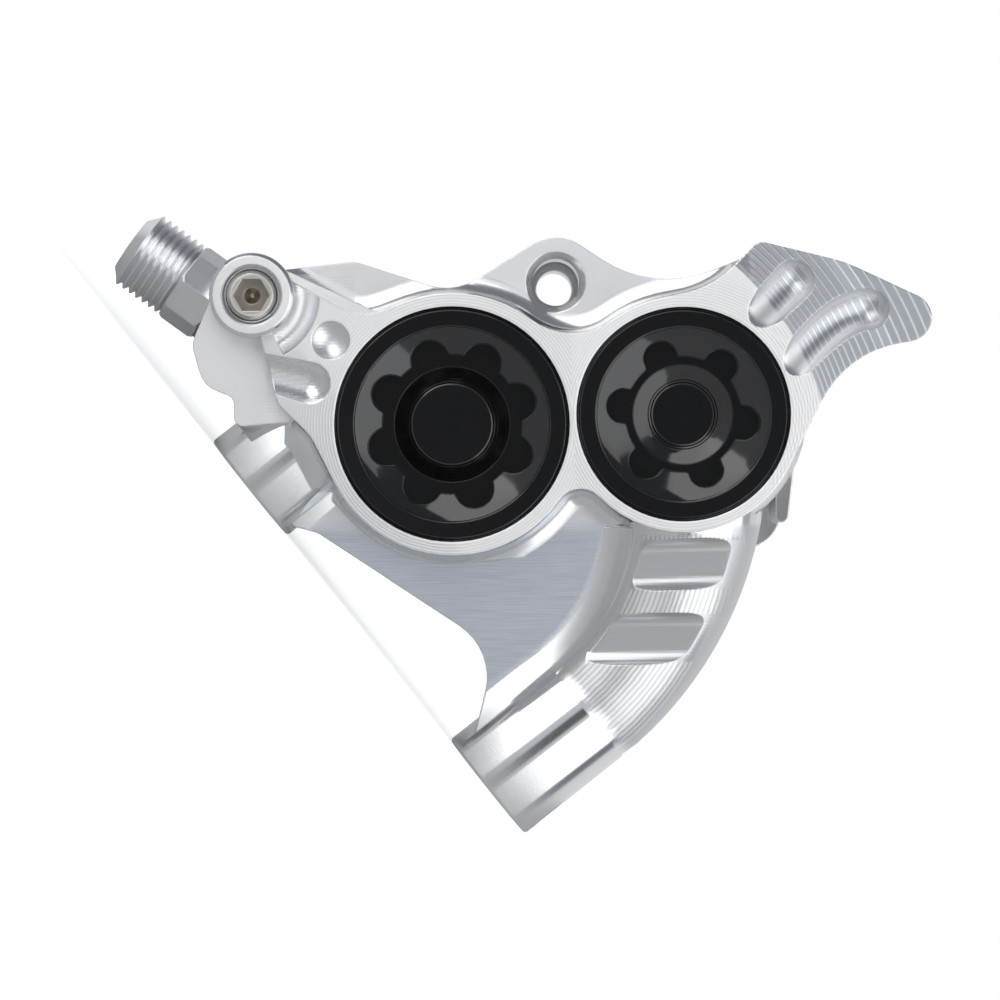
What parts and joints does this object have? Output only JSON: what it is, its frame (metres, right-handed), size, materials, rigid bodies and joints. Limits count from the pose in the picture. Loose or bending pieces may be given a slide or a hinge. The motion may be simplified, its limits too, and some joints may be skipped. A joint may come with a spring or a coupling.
{
  "type": "bicycle disc brake caliper",
  "caption": "One-piece bicycle disc brake caliper with opposed pistons, black bore caps, pads, a hose connector and a bleed screw, on two posts for a flat frame mount.",
  "frame": {"origin": "midway between the two frame bolts, on the mounting face", "axes": "+X along the bolt line, +Y along the wheel axis towards the wheel, +Z away from the frame"},
  "size_m": [0.0637, 0.04, 0.0573],
  "materials": {
    "body_silver": "milled and polished",
    "cap_black": "gloss black anodised",
    "seal_rubber": "moulded",
    "piston_steel": "ground",
    "backplate_steel": "stamped and zinc plated",
    "friction_lining": "pressed friction material",
    "spring_steel": "bent strip",
    "connector_silver": "turned, milled and plated",
    "washer_copper": "soft, flat",
    "screw_steel": "turned"
  },
  "bodies": {
    "caliper": {"caliper_body": "body_silver", "bore_cap_large": "cap_black", "bore_cap_small": "cap_black", "bore_cap_ring_large": "seal_rubber", "bore_cap_ring_small": "seal_rubber", "piston_seal_outer_large": "seal_rubber", "piston_seal_outer_small": "seal_rubber", "piston_seal_inner_large": "seal_rubber", "piston_seal_inner_small": "seal_rubber", "dust_seal_outer_large": "seal_rubber", "dust_seal_outer_small": "seal_rubber", "dust_seal_inner_large": "seal_rubber", "dust_seal_inner_small": "seal_rubber", "pad_spring": "spring_steel", "hose_connector": "connector_silver", "hose_connector_washer": "washer_copper", "bleed_screw_ring": "seal_rubber"},
    "outer_pad": {"pad_backplate_outer": "backplate_steel", "pad_lining_outer": "friction_lining"},
    "inner_pad": {"pad_backplate_inner": "backplate_steel", "pad_lining_inner": "friction_lining"},
    "outer_large_piston": {"piston_outer_large": "piston_steel"},
    "outer_small_piston": {"piston_outer_small": "piston_steel"},
    "inner_large_piston": {"piston_inner_large": "piston_steel"},
    "inner_small_piston": {"piston_inner_small": "piston_steel"},
    "bleed_screw": {"bleed_screw": "screw_steel"}
  },
  "joints": [
    {"name": "outer_pad_slide", "type": "slide", "parent": "caliper", "child": "outer_pad", "axis": [0, 1, 0], "range_m": [0, 0.00125], "deforming": ["pad_spring"]},
    {"name": "inner_pad_slide", "type": "slide", "parent": "caliper", "child": "inner_pad", "axis": [0, -1, 0], "range_m": [0, 0.00125]},
    {"name": "outer_large_piston_slide", "type": "slide", "parent": "caliper", "child": "outer_large_piston", "axis": [0, 1, 0], "range_m": [0, 0.00125]},
    {"name": "outer_small_piston_slide", "type": "slide", "parent": "caliper", "child": "outer_small_piston", "axis": [0, 1, 0], "range_m": [0, 0.00125]},
    {"name": "inner_large_piston_slide", "type": "slide", "parent": "caliper", "child": "inner_large_piston", "axis": [0, -1, 0], "range_m": [0, 0.00125]},
    {"name": "inner_small_piston_slide", "type": "slide", "parent": "caliper", "child": "inner_small_piston", "axis": [0, -1, 0], "range_m": [0, 0.00125]},
    {"name": "bleed_screw_turn", "type": "hinge", "parent": "caliper", "child": "bleed_screw", "pos_m": [-0.03006, -0.005, 0.01092], "axis": [0, -1, 0], "range_deg": [0, 180]}
  ],
  "couplings": [
    {"joint": "inner_pad_slide", "follows": "outer_pad_slide", "ratio": 1},
    {"joint": "outer_large_piston_slide", "follows": "outer_pad_slide", "ratio": 1},
    {"joint": "outer_small_piston_slide", "follows": "outer_pad_slide", "ratio": 1},
    {"joint": "inner_large_piston_slide", "follows": "outer_pad_slide", "ratio": 1},
    {"joint": "inner_small_piston_slide", "follows": "outer_pad_slide", "ratio": 1}
  ]
}
